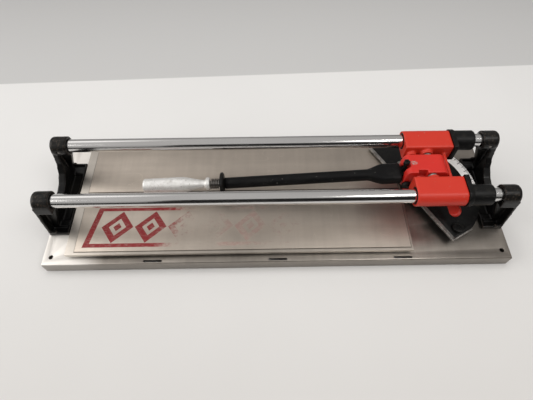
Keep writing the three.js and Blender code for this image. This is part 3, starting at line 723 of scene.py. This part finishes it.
def section_flange(node_middle, face, grow, thick, mirror, sides=96):
    """A plate with the sleeve's section: along angle a its edge is at min(outer, top / sin a) away
    from the middle of the tool, and (|cos a / inner|^p + |sin a / h|^p)^(-1/p) towards it, with
    its rims drawn in and a bore left for the rail."""
    outer, top, inner = (SLEEVE_OUTER + grow) * MM, (SLEEVE_TOP + grow) * MM, (SLEEVE_INNER + grow) * MM
    a = np.linspace(-np.pi / 2, 1.5 * np.pi, sides, endpoint=False)
    tall = np.where(np.sin(a) > 0, top, outer)
    power = 14
    boxed = ((np.abs(np.cos(a)) / inner) ** power + (np.abs(np.sin(a)) / tall) ** power) ** (-1 / power)
    round_side = np.minimum(outer, top / np.maximum(np.sin(a), 1e-6))
    round_side = np.where(np.sin(a) > 0, round_side, outer)
    edge = np.where(np.cos(a) > 0, boxed, round_side)
    bore = np.full_like(a, SLEEVE_BORE * MM)
    rims = [
        (0, bore), (0, edge - 0.5 * MM), (0.5 * MM, edge), (thick - 1.2 * MM, edge),
        (thick - 0.3 * MM, edge - 0.5 * MM), (thick, edge - 1.4 * MM), (thick, bore),
    ]
    _, y, z = node_middle
    rings = [
        np.stack([np.full_like(a, face + x), y + mirror * r * np.cos(a), z + r * np.sin(a)], 1)
        for x, r in rims
    ]
    return np.stack(rings)


nylon = nylon_finish()
for side, sign in SIDES:
    node = side + "_guide_bush"
    middle, half = centre_and_half(side + "_rail")
    (start_x, _, _), (end_x, _, _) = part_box(node)
    start = (start_x, middle[1], middle[2])
    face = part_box("carriage_body")[1][0] + 0.0003
    length = end_x - start_x
    outline = np.array([
        (BUSH_BORE, 0), (BUSH_R, 0), (BUSH_R, face - start_x), (BARREL_R, face - start_x),
        (BARREL_R, length - 1.6 * MM), (14.2 * MM, length - 0.4 * MM), (13.4 * MM, length),
        (11.2 * MM, length), (BUSH_BORE, length - 1 * MM),
    ])
    grid = turned(eased(outline, 0.0007, 5, loop=True), start, (1, 0, 0), 72)
    skin(node + "_made", grid, nylon, "carriage", "loop", stands_for=(node,))
    grid = section_flange(middle, face, FLANGE_GROW, FLANGE_THICK, -sign)
    skin(side + "_bush_flange", grid, nylon, "carriage", "loop")
    node = side + "_end_bush"
    start_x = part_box(node)[0][0]
    outline = np.array([(10.3, 0.6), (10.9, 0), (11.8, 0), (12.2, 0.4), (12.2, 33.6), (10.3, 33.6)])
    grid = turned(eased(outline * MM, 0.0002, 3, loop=True), (start_x, middle[1], middle[2]), (1, 0, 0), 72)
    skin(node + "_made", grid, nylon, "carriage", "loop", stands_for=(node,))


# Pivot. A chromed pin through both sleeves carries the swivel block, with an aluminium
# washer on each side of it.
def aluminium_finish(name, grain_axis=(1, 1, 1), worn=1.0):
    """Turned aluminium, bright but scuffed, with brown grime in the low spots."""
    finish = Finish(name)
    tool = finish.noise(0.0009, grain_axis, detail=2.0)
    scuff = finish.noise(0.006, detail=6.0, rough=0.75)
    grime = finish.noise(0.011, detail=7.0, rough=0.75).step(0.55, 0.8)
    pit = finish.noise(0.0024, detail=3.0).step(0.64, 0.74)
    colour = finish.mix(scuff.step(0.3, 0.7), (0.76, 0.75, 0.73), (0.93, 0.925, 0.915))
    colour = finish.mix(grime * 0.7 * worn, colour, (0.22, 0.18, 0.14))
    colour = finish.mix(pit * 0.85 * worn, colour, (0.10, 0.085, 0.07))
    height = scuff * 0.5 + tool * 0.5
    return finish.set(
        Base_Color=colour,
        Metallic=0.6,
        Roughness=0.36 + scuff.step(0.35, 0.75) * 0.16 + grime * 0.2,
        Normal=finish.bump(height, 0.00004 * worn),
    )


def dull_aluminium(name):
    """Extruded aluminium gone grey, with brighter rubbed spots and dark grime."""
    finish = Finish(name)
    cloud = finish.noise(0.011, detail=6.0, rough=0.7)
    rub = finish.noise(0.005, detail=4.0).step(0.54, 0.66)
    colour = finish.mix(cloud.step(0.35, 0.65), (0.17, 0.16, 0.15), (0.37, 0.355, 0.335))
    colour = finish.mix(rub * 0.7, colour, (0.50, 0.48, 0.45))
    return finish.set(
        Base_Color=colour, Metallic=0.8, Roughness=0.38 + cloud * 0.2, Normal=finish.bump(cloud, 0.00012)
    )


aluminium = aluminium_finish("bright_aluminium", worn=0.5)
# painted shade: the washers take this dark grey finish so that they are dark where they sit in the recess
washer_metal = dull_aluminium("washer_aluminium")
middle, half = centre_and_half("pivot_pin")
r, length = half[2], 2 * half[1]
outline = [(0, 0), (r - 0.0010, 0), (r, 0.0010), (r, length - 0.001), (r - 0.001, length), (0, length)]
grid = turned(eased(outline, 0.0004, 3), middle - (0, half[1], 0), (0, 1, 0), 48)
skin("pivot_pin_made", grid, chrome, "carriage", stands_for=("pivot_pin",))
for side, _ in SIDES:
    node = side + "_pivot_washer"
    middle, half = centre_and_half(node)
    r, thick, bore = half[0], 2 * half[1], 5.15 * MM
    cut = 0.4 * MM
    outline = [(bore, 0), (r - cut, 0), (r, cut), (r, thick - cut), (r - cut, thick), (bore, thick)]
    grid = turned(eased(outline, 0.0003, 3, loop=True), middle - (0, half[1], 0), (0, 1, 0), 56)
    skin(node + "_made", grid, washer_metal, "carriage", "loop", stands_for=(node,))


# Swivel block. A red die casting that rocks on the pivot pin: it clamps the handle's tongue
# in front, and carries the scoring wheel and the breaker below. A hex bolt with a nylon cap
# nut goes through the tongue, and a star-headed screw presses on it from above.
block_low, block_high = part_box("swivel_block")
scuff = (block_low[0] + 0.013, 0.001, block_high[2])
block_red = powder_coat("block_red", (0.60, 0.022, 0.013), (0.49, 0.015, 0.010), 0.5, scuff)
casting(["swivel_block"], block_red, "lever", 0.0008, 4)
broken_edges("handle_bolt", dark_steel, "lever", 0.0004)

middle, half = centre_and_half("handle_bolt_nut")
r, thick = half[0], 2 * half[1]
crown = 3.2 * MM
outline = np.array([
    (0, -crown), (r * 0.5, -crown), (r * 0.85, -0.4 * crown), (r, 0.8 * MM), (r, thick), (0, thick),
])
grid = turned(eased(outline, 0.0016, 6), middle - (0, half[1], 0), (0, 1, 0), 60)
skin("handle_bolt_nut_made", grid, nylon, "lever", stands_for=("handle_bolt_nut",))


def star_head(centre, radius, bottom, top, lobes, depth, sides=72):
    """A lobed head on a round stem: radius * (1 + depth * cos(lobes * a)), domed at the top and
    drawn in below."""
    a = np.linspace(0, 2 * np.pi, sides, endpoint=False)
    lobe = 1 + depth * np.cos(lobes * a)
    stations = np.array([
        (0.02, top - 0.0012), (0.30, top - 0.0012), (0.36, top), (0.78, top), (0.94, top - 0.0006),
        (1.0, top - 0.0016), (1.0, bottom + 0.001), (0.9, bottom),
    ])
    rings = stations[:, 0, None] * radius * np.where(stations[:, 0, None] > 0.5, lobe[None], 1.0)
    x = centre[0] + rings * np.cos(a)
    y = centre[1] + rings * np.sin(a)
    z = np.broadcast_to(stations[:, 1, None], x.shape)
    return np.stack([x, y, z], -1)


middle, half = centre_and_half("handle_lock_screw")
low, high = middle[2] - half[2], middle[2] + half[2]
head = star_head(middle, half[0] * 1.05, high - 6 * MM, high, 6, 0.08)
stem = turned([(2.8 * MM, 0), (2.8 * MM, high - low - 6 * MM)], (middle[0], middle[1], low), (0, 0, 1), 72)
grid = np.concatenate([head, stem[::-1]])
skin("handle_lock_screw_made", grid, nylon, "lever", "ends", stands_for=("handle_lock_screw",))


# Scoring wheel and breaker. The wheel is a small hard disc with a sharp rim, in a forked
# steel holder on an axle. The breaker is a red two-winged foot that rocks on a pin.
broken_edges("wheel_holder", dark_steel, "lever", 0.0003)
broken_edges("wheel_axle", dark_steel, "lever", 0.0002)
middle, half = centre_and_half("scoring_wheel")
r = half[0]
outline = [
    (1.8 * MM, 0.2 * MM), (r * 0.4, 0.2 * MM), (r * 0.45, 0), (r - 2 * MM, 0), (r, 1.1 * MM),
    (r - 2 * MM, 2.2 * MM), (r * 0.45, 2.2 * MM), (r * 0.4, 2.0 * MM), (1.8 * MM, 2.0 * MM),
]
grid = turned(outline, middle - (0, 1.1 * MM, 0), (0, 1, 0), 72)
skin("scoring_wheel_made", grid, chrome, "scoring_wheel", "loop", 15, stands_for=("scoring_wheel",))
breaker_red = powder_coat("breaker_red", (0.58, 0.034, 0.018), (0.47, 0.022, 0.013), 0.6)
casting(["breaker_foot"], breaker_red, "breaker", 0.0008, 4)
broken_edges("breaker_pin", aluminium, "lever", 0.0003)


# Handle. A steel tube, swaged flat and wide into a socket at the carriage end and painted
# satin black. A turned aluminium grip slides on a core rod against a spring and a flange.
DROOP = math.radians(4.4)
GRIP_DROOP = math.radians(1.9)
TUBE_LENGTH = 263 * MM
flange_middle, _ = centre_and_half("grip_flange")
handle_axis = np.array([math.cos(DROOP), 0, math.sin(DROOP)])
grip_axis = np.array([math.cos(GRIP_DROOP), 0, math.sin(GRIP_DROOP)])
grip_start = flange_middle + 3.3 * MM * grip_axis
socket_end = grip_start + TUBE_LENGTH * handle_axis


def satin_black_finish():
    """Satin black paint, greyed by handling and scratched through in a few spots."""
    finish = Finish("satin_black")
    wear = finish.noise(0.012, (0.5, 1, 1), detail=6.0, rough=0.7)
    chip = finish.noise(0.0024, (0.6, 1, 1), detail=2.0).step(0.70, 0.74)
    chip = chip.both(finish.noise(0.03).step(0.5, 0.6))
    colour = finish.mix(wear.step(0.45, 0.8), (0.003, 0.003, 0.0033), (0.010, 0.0097, 0.0095))
    colour = finish.mix(chip * 0.8, colour, (0.22, 0.21, 0.19))
    return finish.set(
        Base_Color=colour,
        Roughness=0.40 + wear * 0.14,
        Specular_IOR_Level=0.16,
        Normal=finish.bump(finish.noise(0.0014) * 0.5 + wear * 0.5, 0.00012),
    )


TUBE_R = 8.6 * MM
SOCKET_WIDER, SOCKET_TALLER = 6.4 * MM, 0.4 * MM


def socketed_tube(end, axis, sides=64):
    """Rings along the tube, each |y / w|^n + |z / h|^n = 1, whose width w, height h and power n
    grow by a smooth step from the round tube to the flat socket."""
    near = np.concatenate([[0, 0, 0.6, 1.6], np.linspace(3, 60, 30), [100, 150, 200, 240]]) * MM
    back = np.concatenate([near, [TUBE_LENGTH - MM, TUBE_LENGTH, TUBE_LENGTH]])
    blend = 1 - np.clip((back - 24 * MM) / (26 * MM), 0, 1)
    blend = blend**2 * (3 - 2 * blend)
    inset = np.zeros_like(back)
    inset[:3] = [6 * MM, 1.4 * MM, 0.35 * MM]
    inset[-3:] = [0.0, 0.8 * MM, 2 * MM]
    width = TUBE_R + SOCKET_WIDER * blend - inset
    height = TUBE_R + SOCKET_TALLER * blend - inset
    power = 2 + 2.4 * blend
    a = np.linspace(0, 2 * np.pi, sides, endpoint=False)[None]
    y = width[:, None] * np.sign(np.cos(a)) * np.abs(np.cos(a)) ** (2 / power[:, None])
    up = height[:, None] * np.sign(np.sin(a)) * np.abs(np.sin(a)) ** (2 / power[:, None])
    upward = np.array([-axis[2], 0, axis[0]])
    along = end - back[:, None, None] * axis
    return along + y[..., None] * np.array([0, 1, 0]) + up[..., None] * upward


satin_black = satin_black_finish()
grid = socketed_tube(socket_end, handle_axis)
skin("handle_tube_made", grid, satin_black, "lever", "ends", 40, stands_for=("handle_tube",))

tongue_half = np.array([11.5, 8.3, 6.3]) * MM
tongue_outline = eased([(-1, -1), (1, -1), (1, 1), (-1, 1)], 0.12, 4, loop=True)
stations = np.array([(-1, 1), (0.94, 1), (1, 0.92)])
tongue_middle = socket_end + 4.5 * MM * handle_axis
upward = np.array([-handle_axis[2], 0, handle_axis[0]])
tongue = (
    tongue_middle
    + stations[:, 0, None, None] * tongue_half[0] * handle_axis
    + stations[:, 1, None, None] * (
        tongue_outline[None, :, 0, None] * tongue_half[1] * np.array([0, 1, 0])
        + tongue_outline[None, :, 1, None] * tongue_half[2] * upward
    )
)
skin("handle_tongue", tongue, satin_black, "lever", "ends")

ROD_R = 4.5 * MM
outline = np.array([
    (4.8, 0.2), (8.6, 0), (9.6, 0.5), (15.4, 0.8), (16.6, 1.8), (17, 3.2), (16.8, 4.6), (15.6, 6.0),
    (10.2, 6.5), (9.2, 7.2), (4.8, 7.2),
])
flange_back = grip_start - 7.6 * MM * grip_axis
grid = turned(eased(outline * MM, 0.0009, 4, loop=True), flange_back, grip_axis, 72)
skin("grip_flange_made", grid, nylon, "lever", "loop", stands_for=("grip_flange",))
far_end, near_end = grip_start - 21.9 * MM * grip_axis, grip_start - 8.6 * MM * grip_axis
grid = coil_points(far_end, grip_axis, 7.2 * MM, 0.8 * MM, 5.2, 13.3 * MM, 40, 12)
pressed = ("lever", "grip", tuple(near_end), tuple(far_end))
skin("grip_spring_made", grid, dark_steel, pressed, "ends", stands_for=("grip_spring",))

grip_metal = aluminium_finish("grip_aluminium", (1, 0.2, 0.2))
FAR = 124.5
outline = np.array([
    (4.8, 23), (8.4, 23), (9.5, 23.8), (9.9, 25.2), (9.9, 27.6), (9.2, 29), (7.0, 29.8), (6.3, 31),
    (6.3, 35), (7.2, 40), (9.4, 51), (11.2, 60), (11.8, 64), (11.7, 72), (10.9, FAR - 2.0),
    (10.5, FAR - 0.7), (9.6, FAR), (7.6, FAR), (6.8, FAR - 0.8), (6.4, FAR - 1.6), (0, FAR - 1.8),
])
profile = eased(outline * MM, 0.0012, 5)
profile = np.concatenate([[(4.8 * MM, 60 * MM)], profile])
grid = turned(profile, grip_start, -grip_axis, 80)
skin("grip_made", grid, grip_metal, "grip", stands_for=("grip",))
ROD_LENGTH = 100 * MM
outline = [(0, 0), (ROD_R, 0), (ROD_R, ROD_LENGTH), (0, ROD_LENGTH)]
grid = turned(outline, grip_start + 6 * MM * grip_axis, -grip_axis, 40)
skin("core_rod_made", grid, dark_steel, "lever", stands_for=("core_rod",))


# Angle stop. A black plate cut to a D swings on a post behind the breaking rib. It carries
# a white dial marked in degrees, a folded aluminium fence on its straight edge, and a nylon
# knob that clamps it.
STOP_TURN = 29.1
post_middle, _ = centre_and_half("protractor_post")
pivot = np.array([post_middle[0], post_middle[1], 0])


def dial_finish():
    """Off-white dial with a tick each degree, longer each fifth and tenth, worn and smudged."""
    finish = Finish("dial_white")
    centre = tuple(pivot)
    x = finish.along("X", turn=(0, 0, -STOP_TURN), centre=centre)
    y = finish.along("Y", turn=(0, 0, -STOP_TURN), centre=centre)
    degrees = finish.add("ShaderNodeMath", {"operation": "ARCTAN2"}, (y, x)) * math.degrees(1)
    radius = (x * x + y * y).math("SQRT", x * x + y * y)
    ink = None
    for every, inner, width in ((1, 100.2, 0.12), (5, 97.6, 0.26), (10, 95.6, 0.34)):
        near = abs((degrees * (1 / every)).math("WRAP", degrees * (1 / every), 0.5, -0.5)) * every
        tick = near.step(width * 1.5, width * 0.8).both(radius.step(inner * MM, (inner + 0.2) * MM))
        ink = tick if ink is None else ink.either(tick)
    rim = abs(radius - 0.0999).step(0.0003, 0.0002)
    smudge = finish.noise(0.012, detail=6.0).step(0.5, 0.8)
    white = finish.mix(smudge, (0.94, 0.935, 0.92), (0.76, 0.745, 0.72))
    return finish.set(
        Base_Color=finish.mix(ink.either(rim) * 0.9, white, (0.03, 0.03, 0.03)), Roughness=0.45 + smudge * 0.2
    )


stop_black = nylon_finish("stop_black")
broken_edges("protractor_plate", stop_black, "protractor", 0.0004, 2)
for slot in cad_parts["protractor_scale"].material_slots:
    slot.material = dial_finish().data
fence_metal = dull_aluminium("fence_aluminium")
broken_edges("fence", fence_metal, "protractor", 0.0003)
broken_edges("protractor_post", dark_steel, "frame", 0.0003)
broken_edges("protractor_screw", dark_steel, "frame", 0.0003)

middle, half = centre_and_half("protractor_knob")
top = middle[2] + half[2]
bottom = top - 4.4 * MM
head = star_head(middle, half[0], bottom, top, 12, 0.02, 96)
stem_bottom = middle[2] - half[2]
STEM_R = 2.8 * MM
stem_start = (middle[0], middle[1], stem_bottom)
stem = turned([(STEM_R, 0), (STEM_R, bottom - stem_bottom)], stem_start, (0, 0, 1), 96)
grid = np.concatenate([head, stem[::-1]])
skin("protractor_knob_made", grid, nylon, "protractor_knob", "ends",
     stands_for=("protractor_knob",))
